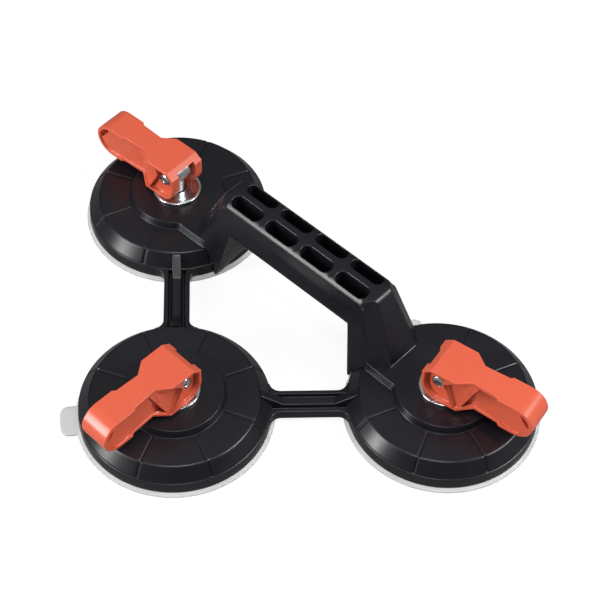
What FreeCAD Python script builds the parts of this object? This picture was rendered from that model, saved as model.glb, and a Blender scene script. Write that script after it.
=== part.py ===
# Three-cup suction lifter for floor tiles, in millimetres, +Z up.
#
# A black moulding joins three round heads at the corners of a right-angled triangle. A bridge
# handle runs over its long side and two channelled rails close the short sides. Each head holds
# a rubber pad, a steel anchor plate with a stud, a spring, a washer and a folding cam lever.
# Levers lie flat in the locked state, with the middle of each pad drawn up.
#
# Row frame: X along the handle, origin at the bottom centre of the bounding box.
import FreeCAD, Part
import math
import os
import Sketcher

doc = FreeCAD.newDocument("SuctionLifter")
sheet = doc.addObject("Spreadsheet::Sheet", "dims")

# Driving dimensions
DIMENSIONS = [
    # layout of the three heads
    ("headReach", 117.0, "handle middle to each head axis"),
    ("handleLine", 59.6, "Y of the line under the handle"),
    # head shell
    ("skirtRadius", 60.0, "outer radius at the skirt's bottom"),
    ("skirtLow", 3.0, "height of the skirt's bottom edge"),
    ("skirtHigh", 11.4, "height where the skirt meets the slope"),
    ("skirtDraft", 0.6, "how far the skirt leans in over its height"),
    ("ringRadius", 52.2, "outer radius of the flat ring"),
    ("ringHigh", 20.0, "height of the flat ring"),
    ("hubFootRadius", 32.2, "radius of the raised hub at the ring"),
    ("hubRadius", 30.5, "radius of the raised hub's top"),
    ("hubHigh", 24.6, "height of the raised hub's top"),
    ("shellWall", 3.2, "wall thickness of the moulding"),
    ("grooveCount", 8, "radial grooves and hidden ribs"),
    ("grooveWidth", 1.2, "width of a radial groove"),
    ("grooveDepth", 0.7, "depth of a radial groove"),
    ("ribWidth", 2.2, "thickness of a rib under the shell"),
    ("ribLow", 12.4, "height of the ribs' bottom edge"),
    # stud guide and spring seat
    ("studRadius", 5.0, "radius of the stud"),
    ("guideClearance", 0.08, "stud to guide, on the radius"),
    ("guideWall", 2.0, "wall of the guide tube"),
    ("guideLow", 14.6, "height of the guide tube's bottom"),
    ("springSeatRadius", 12.2, "radius of the spring's seat"),
    ("springSeatWall", 2.8, "wall around the spring's seat"),
    # rubber pad
    ("padRadius", 61.9, "outer radius of the sealing rim"),
    ("rimInner", 49.0, "inner radius of the flat sealing rim"),
    ("rimEdge", 1.5, "thickness at the rim's edge"),
    ("domeRadius", 22.0, "radius of the lifted middle"),
    ("domeLift", 4.9, "height of the lifted middle's underside"),
    ("padWall", 3.4, "rubber thickness in the middle"),
    ("padClearance", 0.3, "rubber to plastic and to steel"),
    ("tabReach", 71.5, "head axis to the pull tab's tip"),
    ("tabWidth", 21.0, "width of the pull tab at the rim"),
    ("tabTip", 5.5, "radius of the pull tab's tip corners"),
    ("tabWall", 1.3, "thickness of the pull tab"),
    # anchor plate and stud
    ("plateRadius", 20.0, "radius of the steel anchor plate"),
    ("plateWall", 2.4, "thickness of the anchor plate"),
    ("spigotRadius", 4.0, "radius of the stud's riveted end"),
    ("spigotClearance", 0.02, "riveted end to its hole"),
    ("eyeRadius", 7.2, "radius of the stud's eye"),
    ("eyeWidth", 13.0, "width of the stud's eye"),
    ("pinRadius", 3.0, "radius of the pivot rivet"),
    ("pinClearance", 0.05, "rivet to the stud's eye, on the radius"),
    # spring
    ("wireRadius", 0.9, "radius of the spring wire"),
    ("coilRadius", 9.5, "mean radius of the spring"),
    ("coilTurns", 4, "turns of the spring"),
    ("seatGap", 0.1, "seating gap between loose parts"),
    # washer
    ("washerRadius", 16.2, "outer radius of the washer"),
    ("washerHole", 5.6, "radius of the washer's hole"),
    ("washerWall", 1.2, "thickness of the washer's web"),
    ("washerRim", 2.0, "height of the washer's rolled rim"),
    ("washerRimWidth", 2.4, "width of the washer's rolled rim"),
    # lever
    ("camHigh", 15.05, "pivot to washer with the lever locked"),
    ("camLow", 10.2, "pivot to washer with the lever raised"),
    ("camClearance", 0.2, "cam to washer"),
    ("leverTop", 11.4, "pivot to the lever's top face"),
    ("leverBase", 13.2, "pivot to the grip's underside"),
    ("leverReach", 64.0, "pivot to the lever's tip"),
    ("leverHead", 14.1, "half width of the lever's head"),
    ("leverWaist", 7.8, "half width where the waist starts"),
    ("leverNeck", 8.5, "half width where the waist ends"),
    ("leverGrip", 10.1, "half width of the lever's grip"),
    ("headEnd", 12.4, "pivot to the end of the wide head, at the top"),
    ("waistStart", 21.0, "pivot to the start of the waist, at the top"),
    ("waistEnd", 37.4, "pivot to the end of the waist, at the top"),
    ("gripStart", 39.4, "pivot to the start of the grip, at the top"),
    ("underStep", 3.2, "how much further out the underside's outline steps"),
    ("facetLength", 5.8, "length of the facet on the pivot end"),
    ("facetDrop", 4.2, "drop of the facet on the pivot end"),
    ("leverBand", 2.3, "thickness of the lever's flanges"),
    ("webInset", 1.6, "side web set in from the flanges at the waist"),
    ("ridgeHigh", 26.3, "pivot to the ridge behind the waist, at its top"),
    ("ridgeLow", 17.2, "pivot to the ridge behind the waist, at its foot"),
    ("facetDepth", 10.9, "depth of the slanted facet, from the lever's middle"),
    ("facetTilt", 9.7, "angle of the slanted facet to the side"),
    ("facetTurn", 32.0, "direction in which the facet falls, from straight up"),
    ("braceHigh", 5.3, "pivot to the brace's upper corner"),
    ("braceTop", 3.6, "height of the brace's upper corner over the pivot"),
    ("braceLow", 13.3, "pivot to the brace's foot"),
    ("braceWall", 1.4, "thickness of the brace"),
    ("eyeInset", 0.3, "eye recess to the inside of the rolled band"),
    ("eyeDepth", 4.0, "depth of the eye recess behind the side web"),
    ("eyeCurve", 15.5, "radius of the eye recess's inner side"),
    ("eyeFrom", -10.0, "angle round the tip where the eye recess starts"),
    ("eyeTo", 75.0, "angle round the tip where the eye recess ends"),
    ("headInset", 3.7, "cheeks set in from the flanges"),
    ("cheekGap", 15.0, "gap between the cheeks"),
    ("coreWidth", 7.0, "hollow inside the grip"),
    ("topWall", 3.0, "thickness of the lever's top plate"),
    ("mouthEnd", 9.0, "pivot to the end of the open mouth"),
    ("rivetHead", 4.5, "radius of the rivet's heads"),
    ("rivetDome", 1.7, "height of the rivet's heads"),
    ("rivetHollow", 1.7, "radius of the rolled end's hollow"),
    ("rivetClearance", 0.02, "rivet to the lever"),
    # handle
    ("handleHigh", 68.0, "height of the handle's crown"),
    ("crownDrop", 1.4, "fall of the crown to the handle's edge"),
    ("footOuter", 33.4, "head axis to the outside of a leg's foot"),
    ("footInner", 58.7, "head axis to the inside of a leg's foot"),
    ("legLean", 19.0, "how far a leg's outside leans in up to the top"),
    ("palmLean", 7.3, "how far a leg's inside leans in up to the beam"),
    ("beamLow", 43.6, "height of the beam's underside"),
    ("gripHalf", 14.1, "half width of the handle's top"),
    ("footHalf", 23.2, "half width of the legs at their foot"),
    ("footWebHalf", 20.5, "half width of the raised web at a leg's foot"),
    ("webDraft", 1.7, "draft of the raised web's sides"),
    ("cornerChamfer", 7.2, "chamfer on the legs' outer corners"),
    ("gripFillet", 3.2, "rounding along the handle's top"),
    ("shoulderFillet", 6.0, "rounding over the handle's shoulders"),
    ("palmFillet", 7.0, "rounding inside the handle's corners"),
    ("slotColumns", 4, "slots in a row"),
    ("slotWidth", 8.5, "width of a slot in the handle"),
    ("slotRound", 3.6, "corner radius of a slot"),
    ("slotBar", 6.0, "bar between two slots of a row"),
    ("slotEnd", 8.4, "solid length of the top beyond the slots"),
    ("slotRib", 6.2, "rib between the two rows of slots"),
    ("slotFloor", 3.4, "thickness left under the slots"),
    # rails
    ("railHalf", 8.3, "half width of a rail"),
    ("railLow", 4.0, "height of a rail's underside"),
    ("railHigh", 11.0, "height of a rail's top"),
    ("railLip", 3.0, "width of a rail's edge lip"),
    ("railRib", 5.8, "width of a rail's middle rib"),
    ("railDepth", 3.0, "depth of a rail's channels"),
    ("railFlare", 7.0, "radius where a rail meets a head"),
]

# Heads: name, direction from the handle's middle, lever direction, pull tab direction, in degrees
HEADS = [
    ("front", -90.0, -91.3, -130.0),
    ("right", 0.0, 9.3, 150.0),
    ("left", 180.0, 182.0, 30.0),
]


class Size:
    """A length that knows both its value and the expression it comes from."""

    def __init__(self, value, text):
        self.value = float(value)
        self.text = text

    def __add__(self, other):
        other = asSize(other)
        return Size(self.value + other.value, "(%s + %s)" % (self.text, other.text))

    def __radd__(self, other):
        return asSize(other) + self

    def __sub__(self, other):
        other = asSize(other)
        return Size(self.value - other.value, "(%s - %s)" % (self.text, other.text))

    def __rsub__(self, other):
        return asSize(other) - self

    def __mul__(self, other):
        other = asSize(other)
        return Size(self.value * other.value, "(%s * %s)" % (self.text, other.text))

    def __rmul__(self, other):
        return asSize(other) * self

    def __truediv__(self, other):
        other = asSize(other)
        return Size(self.value / other.value, "(%s / %s)" % (self.text, other.text))

    def __rtruediv__(self, other):
        return asSize(other) / self

    def __neg__(self):
        return Size(-self.value, "(0 - %s)" % self.text)

    def root(self):
        return Size(math.sqrt(self.value), "sqrt(%s)" % self.text)


def asSize(number):
    return number if isinstance(number, Size) else Size(number, "%.6f" % number)


def fillSheet():
    """Writes each driving dimension with its alias and hands back the named sizes."""
    sizes = {}
    for row, (name, value, note) in enumerate(DIMENSIONS, start=1):
        sheet.set("A%d" % row, name)
        sheet.set("B%d" % row, str(value))
        sheet.set("C%d" % row, note)
        sheet.setAlias("B%d" % row, name)
        sizes[name] = Size(value, "dims." + name)
    doc.recompute()
    return sizes


class Named:
    """Lets the sizes be written as words: size.headReach."""

    def __init__(self, sizes):
        self.__dict__.update(sizes)


size = Named(fillSheet())

# Sizes that follow from the driving ones
washerTop = size.hubHigh + size.seatGap + size.washerRim
pivotHigh = washerTop + size.camClearance + size.camHigh
plateLow = size.domeLift + size.padWall + size.padClearance
plateTop = plateLow + size.plateWall
boreRadius = size.studRadius + size.guideClearance
hubCeiling = size.hubHigh - size.shellWall
ringCeiling = size.ringHigh - size.shellWall
skirtTopRadius = size.skirtRadius - size.skirtDraft
skirtInner = size.skirtRadius - size.shellWall
railLength = size.headReach * asSize(2).root()
camRadius = (size.camHigh + size.camLow) / 2
camOffset = (size.camHigh - size.camLow) / 2
tipRadius = (size.leverTop + size.leverBase) / 2
tipMiddle = (size.leverTop - size.leverBase) / 2
tipStart = size.leverReach - tipRadius
leverBottom = -size.camHigh
edgeHigh = size.handleHigh - size.crownDrop
footHalfLength = size.headReach - size.footOuter
topHalfLength = footHalfLength - size.legLean
innerLow = size.headReach - size.footInner
innerHigh = innerLow - size.palmLean
slotPitch = (topHalfLength * 2 - size.slotEnd * 2 + size.slotBar) / size.slotColumns
slotLength = slotPitch - size.slotBar


# Sketch and feature helpers
def bind(target, path, length):
    target.setExpression(path, asSize(length).text)


def newBody(name):
    return doc.addObject("PartDesign::Body", name)


def basePlane(body, role):
    return [feature for feature in body.Origin.OriginFeatures if feature.Role == role][0]


def arcBetween(start, end, radius):
    """Arc from start to end; a positive radius bulges to the right of the way, as on a convex outline."""
    chord = end - start
    across = FreeCAD.Vector(-chord.y, chord.x, 0).normalize()
    reach = abs(radius)
    offset = math.sqrt(max(reach ** 2 - (chord.Length / 2) ** 2, 0))
    centre = (start + end) * 0.5 + across * math.copysign(offset, radius)
    first, last = start - centre, end - centre
    angles = [math.atan2(spoke.y, spoke.x) for spoke in (first, last)]
    if radius < 0:
        angles.reverse()
    if angles[1] < angles[0]:
        angles[1] += 2 * math.pi
    circle = Part.Circle(centre, FreeCAD.Vector(0, 0, 1), reach)
    return Part.ArcOfCircle(circle, angles[0], angles[1])


def pinPoint(sketch, edge, end, x, y):
    """Holds one end of an edge at its distance from the sketch's origin."""
    for kind, axis, length in (("DistanceX", -2, x), ("DistanceY", -1, y)):
        if abs(length.value) < 1e-9:
            sketch.addConstraint(Sketcher.Constraint("PointOnObject", edge, end, axis))
            continue
        index = sketch.addConstraint(Sketcher.Constraint(kind, -1, 1, edge, end, length.value))
        name = "%s%d" % ("x" if kind == "DistanceX" else "y", index)
        sketch.renameConstraint(index, name)
        bind(sketch, "Constraints." + name, length)


def addOutline(sketch, corners):
    """A closed outline. A corner is (x, y), or (x, y, radius) where an arc starts there."""
    places = [tuple(asSize(number) for number in corner) for corner in corners]
    points = [FreeCAD.Vector(place[0].value, place[1].value, 0) for place in places]
    first = sketch.GeometryCount
    ends = []
    for index, place in enumerate(places):
        start, end = points[index], points[(index + 1) % len(points)]
        if len(place) == 3:
            sketch.addGeometry(arcBetween(start, end, place[2].value))
            ends.append((1, 2) if place[2].value > 0 else (2, 1))
        else:
            sketch.addGeometry(Part.LineSegment(start, end))
            ends.append((1, 2))
    for index in range(len(places)):
        after = (index + 1) % len(places)
        link = Sketcher.Constraint("Coincident", first + index, ends[index][1], first + after, ends[after][0])
        sketch.addConstraint(link)
    for index, place in enumerate(places):
        pinPoint(sketch, first + index, ends[index][0], place[0], place[1])
        if len(place) == 3:
            radius = place[2] if place[2].value > 0 else -place[2]
            mark = sketch.addConstraint(Sketcher.Constraint("Radius", first + index, radius.value))
            name = "radius%d" % mark
            sketch.renameConstraint(mark, name)
            bind(sketch, "Constraints." + name, radius)


def addCircle(sketch, x, y, radius):
    radius = asSize(radius)
    x, y = asSize(x), asSize(y)
    centre = FreeCAD.Vector(x.value, y.value, 0)
    edge = sketch.addGeometry(Part.Circle(centre, FreeCAD.Vector(0, 0, 1), radius.value))
    pinPoint(sketch, edge, 3, x, y)
    mark = sketch.addConstraint(Sketcher.Constraint("Radius", edge, radius.value))
    name = "radius%d" % mark
    sketch.renameConstraint(mark, name)
    bind(sketch, "Constraints." + name, radius)


def newSketch(body, name, role, outlines=(), circles=(), height=None, tilt=None):
    """A sketch on one of the body's planes, lifted by a height and tilted about an axis (x, y, angle)."""
    sketch = body.newObject("Sketcher::SketchObject", name)
    sketch.AttachmentSupport = [(basePlane(body, role), "")]
    sketch.MapMode = "FlatFace"
    if tilt is not None:
        turn = FreeCAD.Rotation(FreeCAD.Vector(tilt[0], tilt[1], 0), tilt[2].value)
        sketch.AttachmentOffset = FreeCAD.Placement(FreeCAD.Vector(), turn)
        bind(sketch, ".AttachmentOffset.Rotation.Angle", tilt[2])
    if height is not None:
        bind(sketch, ".AttachmentOffset.Base.z", height)
    for outline in outlines:
        addOutline(sketch, outline)
    for circle in circles:
        addCircle(sketch, *circle)
    return sketch


def revolve(body, name, outline):
    """Turns a half section, given as (radius, height) corners, about the vertical axis."""
    sketch = newSketch(body, name + "Section", "XZ_Plane", [outline])
    feature = body.newObject("PartDesign::Revolution", name)
    feature.Profile = sketch
    feature.ReferenceAxis = (sketch, ["V_Axis"])
    feature.Angle = 360
    doc.recompute()
    return feature


def pad(body, name, sketch, length, symmetric=False):
    feature = body.newObject("PartDesign::Pad", name)
    feature.Profile = sketch
    feature.SideType = "Symmetric" if symmetric else "One side"
    bind(feature, "Length", length)
    doc.recompute()
    return feature


def pocket(body, name, sketch, length=None, symmetric=False, reversed=False, along=None):
    """Cuts a sketch into the body, right through where no length is given, square to it or along a direction."""
    before = body.Shape.Volume
    feature = body.newObject("PartDesign::Pocket", name)
    feature.Profile = sketch
    feature.SideType = "Symmetric" if symmetric else "One side"
    feature.Reversed = reversed
    if length is None:
        feature.Type = "ThroughAll"
    else:
        bind(feature, "Length", length)
    if along is not None:
        feature.UseCustomVector = True
        feature.Direction = FreeCAD.Vector(*along)
    doc.recompute()
    if body.Shape.Volume > before - 1e-3:
        raise RuntimeError("%s cuts nothing" % name)
    return feature


def polarPattern(body, name, features, count):
    pattern = body.newObject("PartDesign::PolarPattern", name)
    pattern.Originals = features
    pattern.Axis = (basePlane(body, "Z_Axis"), [""])
    pattern.Angle = 360
    bind(pattern, "Occurrences", count)
    body.Tip = pattern
    doc.recompute()
    return pattern


def mirrored(body, name, features, role):
    mirror = body.newObject("PartDesign::Mirrored", name)
    mirror.Originals = features
    mirror.MirrorPlane = (basePlane(body, role), [""])
    body.Tip = mirror
    doc.recompute()
    return mirror


def place(item, x, y, z=0.0, yaw=0.0):
    """Puts a body at its spot in the row frame, turned about the vertical."""
    bind(item, ".Placement.Base.x", x)
    bind(item, ".Placement.Base.y", y)
    bind(item, ".Placement.Base.z", z)
    bind(item, ".Placement.Rotation.Angle", yaw)


def headPlace(direction):
    """Centre of a head whose direction from the handle's middle is a multiple of 90 degrees."""
    turn = math.radians(direction)
    return size.headReach * round(math.cos(turn)), size.handleLine + size.headReach * round(math.sin(turn))


# Frame moulding
def headShell(name, direction):
    """One round head: skirt, slope, ring and hub, with its guide, spring seat, ribs and grooves."""
    body = newBody(name)
    slopeInnerRadius = size.ringRadius - size.shellWall * 0.45
    section = [
        (size.skirtRadius, size.skirtLow),
        (skirtTopRadius, size.skirtHigh),
        (size.ringRadius, size.ringHigh),
        (size.hubFootRadius, size.ringHigh),
        (size.hubRadius, size.hubHigh),
        (boreRadius, size.hubHigh),
        (boreRadius, size.guideLow),
        (boreRadius + size.guideWall, size.guideLow),
        (boreRadius + size.guideWall, hubCeiling),
        (size.springSeatRadius, hubCeiling),
        (size.springSeatRadius, size.ribLow),
        (size.springSeatRadius + size.springSeatWall, size.ribLow),
        (size.springSeatRadius + size.springSeatWall, hubCeiling),
        (size.hubRadius - size.shellWall * 0.6, hubCeiling),
        (size.hubFootRadius - size.shellWall * 0.7, ringCeiling),
        (slopeInnerRadius, ringCeiling),
        (skirtInner - size.skirtDraft, size.skirtHigh - size.shellWall * 0.35),
        (skirtInner, size.skirtLow),
    ]
    revolve(body, name + "Shell", section)

    ribInner = size.springSeatRadius + size.springSeatWall / 2
    ribOuter = skirtInner + size.shellWall * 0.2
    ribOutline = [
        (ribInner, size.ribLow),
        (ribOuter - size.shellWall, size.ribLow - size.shellWall),
        (ribOuter, size.ribLow - size.shellWall),
        (ribOuter - size.skirtDraft, size.skirtHigh - size.shellWall * 0.2),
        (slopeInnerRadius, ringCeiling + size.shellWall / 2),
        (size.hubFootRadius, ringCeiling + size.shellWall / 2),
        (size.hubRadius - size.shellWall * 0.6, hubCeiling + size.shellWall / 2),
        (ribInner, hubCeiling + size.shellWall / 2),
    ]
    ribSketch = newSketch(body, name + "RibSketch", "XZ_Plane", [ribOutline])
    rib = pad(body, name + "Rib", ribSketch, size.ribWidth, symmetric=True)
    polarPattern(body, name + "Ribs", [rib], size.grooveCount)

    grooveOutline = [
        (size.hubFootRadius + size.grooveDepth, size.ringHigh - size.grooveDepth),
        (size.ringRadius - size.grooveDepth / 2, size.ringHigh - size.grooveDepth),
        (skirtTopRadius - size.grooveDepth, size.skirtHigh),
        (size.skirtRadius + size.grooveDepth, size.skirtHigh),
        (size.skirtRadius + size.grooveDepth, size.ringHigh + size.grooveDepth),
        (size.hubFootRadius + size.grooveDepth, size.ringHigh + size.grooveDepth),
    ]
    grooveSketch = newSketch(body, name + "GrooveSketch", "XZ_Plane", [grooveOutline])
    groove = pocket(body, name + "Groove", grooveSketch, size.grooveWidth, symmetric=True)
    polarPattern(body, name + "Grooves", [groove], size.grooveCount)
    x, y = headPlace(direction)
    place(body, x, y, yaw=180 / size.grooveCount)
    return body


def railBody(name, yaw):
    """A straight rail from the front head: flared ends, two channels and a middle rib that climbs."""
    body = newBody(name)
    flareReach = size.skirtRadius + size.railFlare
    flareSide = size.railHalf + size.railFlare
    flareAlong = (flareReach * flareReach - flareSide * flareSide).root()
    onHead = (size.skirtRadius * flareAlong / flareReach, size.skirtRadius * flareSide / flareReach)
    inside = skirtInner * 0.93
    far = railLength
    outline = [
        (inside, -onHead[1]),
        (onHead[0], -onHead[1], -size.railFlare),
        (flareAlong, -size.railHalf),
        (far - flareAlong, -size.railHalf, -size.railFlare),
        (far - onHead[0], -onHead[1]),
        (far - inside, -onHead[1]),
        (far - inside, onHead[1]),
        (far - onHead[0], onHead[1], -size.railFlare),
        (far - flareAlong, size.railHalf),
        (flareAlong, size.railHalf, -size.railFlare),
        (onHead[0], onHead[1]),
        (inside, onHead[1]),
    ]
    sketch = newSketch(body, name + "Sketch", "XY_Plane", [outline], height=size.railLow)
    pad(body, name + "Bar", sketch, size.railHigh - size.railLow)

    channels = []
    for side in (-1, 1):
        near, wide = side * size.railRib / 2, side * (size.railHalf - size.railLip)
        corners = [(size.skirtRadius, near), (far - size.skirtRadius, near),
                   (far - size.skirtRadius, wide), (size.skirtRadius, wide)]
        channels.append(corners)
    sketch = newSketch(body, name + "ChannelSketch", "XY_Plane", channels, height=size.railHigh)
    pocket(body, name + "Channels", sketch, size.railDepth)

    ringInner = size.ringRadius - size.shellWall
    for tag, end in (("Near", 1), ("Far", -1)):
        start = 0 if end == 1 else far
        climb = [
            (start + end * ringInner, ringCeiling + size.shellWall / 2),
            (start + end * ringInner, size.ringHigh),
            (start + end * (size.ringRadius + size.shellWall / 2), size.ringHigh),
            (start + end * (size.skirtRadius + size.railFlare), size.railHigh),
            (start + end * (size.skirtRadius + size.railFlare), size.railHigh - size.railDepth),
            (start + end * (skirtTopRadius - size.shellWall / 2), size.railHigh - size.railDepth),
        ]
        sketch = newSketch(body, name + tag + "ClimbSketch", "XZ_Plane", [climb])
        pad(body, name + tag + "Climb", sketch, size.railRib, symmetric=True)
    x, y = headPlace(-90.0)
    place(body, x, y, yaw=yaw)
    return body


def edgesWhere(shape, test):
    """Names of the edges whose two ends and middle all pass the test."""
    names = []
    for index, edge in enumerate(shape.Edges, start=1):
        points = [vertex.Point for vertex in edge.Vertexes]
        middle = edge.valueAt((edge.FirstParameter + edge.LastParameter) / 2)
        if len(points) == 2 and all(test(point) for point in points + [middle]):
            names.append("Edge%d" % index)
    return names


def dress(body, kind, name, path, length, test):
    """A chamfer or fillet along the edges that pass the test."""
    base = body.Tip
    edges = edgesWhere(base.Shape, test)
    feature = body.newObject(kind, name)
    feature.Base = (base, edges)
    bind(feature, path, length)
    doc.recompute()
    return feature


def handleBody(name):
    """The bridge handle: leaning legs, a beam with a crowned top and two rows of slots."""
    body = newBody(name)
    footLevel = ringCeiling + size.shellWall / 2
    slope = (footHalfLength - topHalfLength) / (size.handleHigh - size.hubHigh)
    footOut = footHalfLength + slope * (size.hubHigh - footLevel)
    rise = (size.handleHigh - size.skirtLow)
    shellFoot = size.headReach - size.skirtRadius + size.shellWall
    ringFoot = size.headReach - size.ringRadius + size.shellWall * 0.5
    shoulder = size.skirtHigh - size.shellWall * 0.2
    side = [
        (-topHalfLength, size.handleHigh),
        (-footOut, footLevel),
        (-ringFoot, footLevel),
        (-shellFoot, shoulder),
        (-shellFoot, size.skirtLow),
        (-innerLow, size.skirtLow),
        (-innerHigh, size.beamLow),
        (innerHigh, size.beamLow),
        (innerLow, size.skirtLow),
        (shellFoot, size.skirtLow),
        (shellFoot, shoulder),
        (ringFoot, footLevel),
        (footOut, footLevel),
        (topHalfLength, size.handleHigh),
    ]
    sketch = newSketch(body, name + "SideSketch", "XZ_Plane", [side])
    blank = size.footHalf * 2.5
    pad(body, name + "Blank", sketch, blank, symmetric=True)

    # outside of the end view is cut away: leaning sides under a crowned top
    half = blank / 2 + size.shellWall
    crownRadius = (size.gripHalf * size.gripHalf / size.crownDrop + size.crownDrop) / 2
    top = size.handleHigh + size.shellWall
    foot = size.skirtLow - size.shellWall
    spread = size.footHalf + (size.footHalf - size.gripHalf) * size.shellWall / rise
    for tag, hand in (("Near", -1), ("Far", 1)):
        outside = [
            (hand * size.gripHalf, edgeHigh),
            (hand * spread, foot),
            (hand * half, foot),
            (hand * half, edgeHigh),
        ]
        sketch = newSketch(body, name + tag + "LeanSketch", "YZ_Plane", [outside])
        pocket(body, name + tag + "Lean", sketch, symmetric=True)
    crown = [
        (-half, edgeHigh),
        (-size.gripHalf, edgeHigh, -crownRadius),
        (size.gripHalf, edgeHigh),
        (half, edgeHigh),
        (half, top),
        (-half, top),
    ]
    sketch = newSketch(body, name + "CrownSketch", "YZ_Plane", [crown])
    pocket(body, name + "Crown", sketch, symmetric=True)

    def outerCorner(point):
        leaning = topHalfLength.value + slope.value * (size.handleHigh.value - point.z)
        return abs(point.y) > size.gripHalf.value - 0.1 and abs(abs(point.x) - leaning) < 0.1

    def palmCorner(point):
        return abs(abs(point.x) - innerHigh.value) < 0.1 and abs(point.z - size.beamLow.value) < 0.1

    def shoulder(point):
        return abs(point.z - size.handleHigh.value) < size.crownDrop.value + 0.1 and (
            abs(abs(point.x) - topHalfLength.value) < slope.value * size.crownDrop.value + 0.1)

    def gripEdge(point):
        return abs(abs(point.y) - size.gripHalf.value) < 0.1 and abs(point.z - edgeHigh.value) < 0.1

    dress(body, "PartDesign::Chamfer", name + "Corners", "Size", size.cornerChamfer, outerCorner)
    dress(body, "PartDesign::Fillet", name + "Shoulders", "Radius", size.shoulderFillet, shoulder)
    dress(body, "PartDesign::Fillet", name + "Grip", "Radius", size.gripFillet, gripEdge)
    dress(body, "PartDesign::Fillet", name + "Palm", "Radius", size.palmFillet, palmCorner)

    slots = []
    for row in (-1, 1):
        for column in range(round(size.slotColumns.value)):
            middleX = slotPitch * (column + 0.5) - slotPitch * size.slotColumns / 2
            middleY = row * (size.slotRib + size.slotWidth) / 2
            slots.append(roundedRectangle(middleX, middleY, slotLength, size.slotWidth, size.slotRound))
    sketch = newSketch(body, name + "SlotSketch", "XY_Plane", slots, height=size.handleHigh)
    pocket(body, name + "Slots", sketch, size.handleHigh - size.beamLow - size.slotFloor)
    footWeb(body, "rightFoot", 1)
    footWeb(body, "leftFoot", -1)
    place(body, 0, size.handleLine)
    return body


def roundedRectangle(middleX, middleY, length, width, radius):
    """Corners of a rectangle with rounded corners, as line and arc starts, anticlockwise."""
    left, right = middleX - length / 2, middleX + length / 2
    low, high = middleY - width / 2, middleY + width / 2
    return [
        (left + radius, low), (right - radius, low, radius),
        (right, low + radius), (right, high - radius, radius),
        (right - radius, high), (left + radius, high, radius),
        (left, high - radius), (left, low + radius, radius),
    ]


def footWeb(body, name, hand):
    """The raised web that runs from a leg to the hub beside it, with drafted sides."""
    footHalf = size.footWebHalf + size.webDraft
    level = ringCeiling + size.shellWall * 0.3
    section = [
        (-footHalf, level), (footHalf, level), (footHalf, size.ringHigh),
        (size.footWebHalf, size.hubHigh), (-size.footWebHalf, size.hubHigh), (-footHalf, size.ringHigh),
    ]
    start = size.headReach - size.ringRadius + size.shellWall
    stop = size.headReach - size.springSeatRadius - size.springSeatWall
    sketch = newSketch(body, name + "Sketch", "YZ_Plane", [section], height=start * hand)
    web = pad(body, name + "Web", sketch, stop - start)
    web.Reversed = hand < 0
    doc.recompute()


def frameMoulding():
    pieces = [headShell(name + "Head", direction) for name, direction, lever, tab in HEADS]
    pieces += [railBody("rightRail", 45.0), railBody("leftRail", 135.0)]
    pieces.append(handleBody("handle"))
    frame = doc.addObject("Part::MultiFuse", "frame")
    frame.Shapes = pieces
    frame.Refine = True
    frame.Label = "frame_moulding"
    doc.recompute()
    return frame


# Loose parts of one head
def rubberPad(name, tab, x, y):
    """The sealing pad: a flat rim, a lifted middle and a pull tab."""
    body = newBody(name + "Pad")
    body.Label = name + "_pad"
    rimTop = size.skirtLow - size.padClearance
    shoulder = (size.rimInner + size.domeRadius) / 2
    topShoulder = rimTop + (size.domeLift + size.padWall - rimTop) * 0.5
    section = [
        (0, size.domeLift),
        (size.domeRadius, size.domeLift),
        (shoulder, size.domeLift * 0.42),
        (size.rimInner, 0),
        (size.padRadius - size.rimEdge / 2, 0),
        (size.padRadius, size.rimEdge / 2),
        (size.padRadius - size.rimEdge / 2, size.rimEdge),
        (size.skirtRadius, rimTop),
        (size.rimInner + size.padWall, rimTop),
        (shoulder + size.padWall, topShoulder),
        (size.domeRadius + size.padWall / 2, size.domeLift + size.padWall),
        (0, size.domeLift + size.padWall),
    ]
    revolve(body, name + "PadDisc", section)
    half = size.tabWidth / 2
    tip = size.tabTip
    outline = [
        (size.rimInner + size.padWall, -half),
        (size.padRadius, -half),
        (size.tabReach - tip, -half + tip / 2, half - tip / 2 + size.tabWall),
        (size.tabReach - tip, half - tip / 2),
        (size.padRadius, half),
        (size.rimInner + size.padWall, half),
    ]
    sketch = newSketch(body, name + "TabSketch", "XY_Plane", [outline])
    pad(body, name + "Tab", sketch, size.tabWall)
    place(body, x, y, yaw=tab)
    return body


def anchorPlate(name, x, y):
    """The steel disc bonded on the pad, with a hole for the stud's riveted end."""
    body = newBody(name + "Plate")
    body.Label = name + "_anchor_plate"
    hole = size.spigotRadius + size.spigotClearance
    edge = size.plateWall / 4
    section = [
        (hole, plateLow), (size.plateRadius - edge, plateLow), (size.plateRadius, plateLow + edge),
        (size.plateRadius, plateTop - edge), (size.plateRadius - edge, plateTop), (hole, plateTop),
    ]
    revolve(body, name + "PlateDisc", section)
    place(body, x, y)
    return body


def stud(name, lever, x, y):
    """The steel stud: riveted end, shank and a cross-drilled eye for the pivot."""
    body = newBody(name + "Stud")
    body.Label = name + "_stud"
    section = [
        (0, plateLow), (size.spigotRadius, plateLow), (size.spigotRadius, plateTop),
        (size.studRadius, plateTop), (size.studRadius, pivotHigh), (0, pivotHigh),
    ]
    revolve(body, name + "Shank", section)
    sketch = newSketch(body, name + "EyeSketch", "XZ_Plane", circles=[(0, pivotHigh, size.eyeRadius)])
    pad(body, name + "Eye", sketch, size.eyeWidth, symmetric=True)
    hole = size.pinRadius + size.pinClearance
    sketch = newSketch(body, name + "HoleSketch", "XZ_Plane", circles=[(0, pivotHigh, hole)])
    pocket(body, name + "Hole", sketch, symmetric=True)
    place(body, x, y, yaw=lever)
    return body


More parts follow.
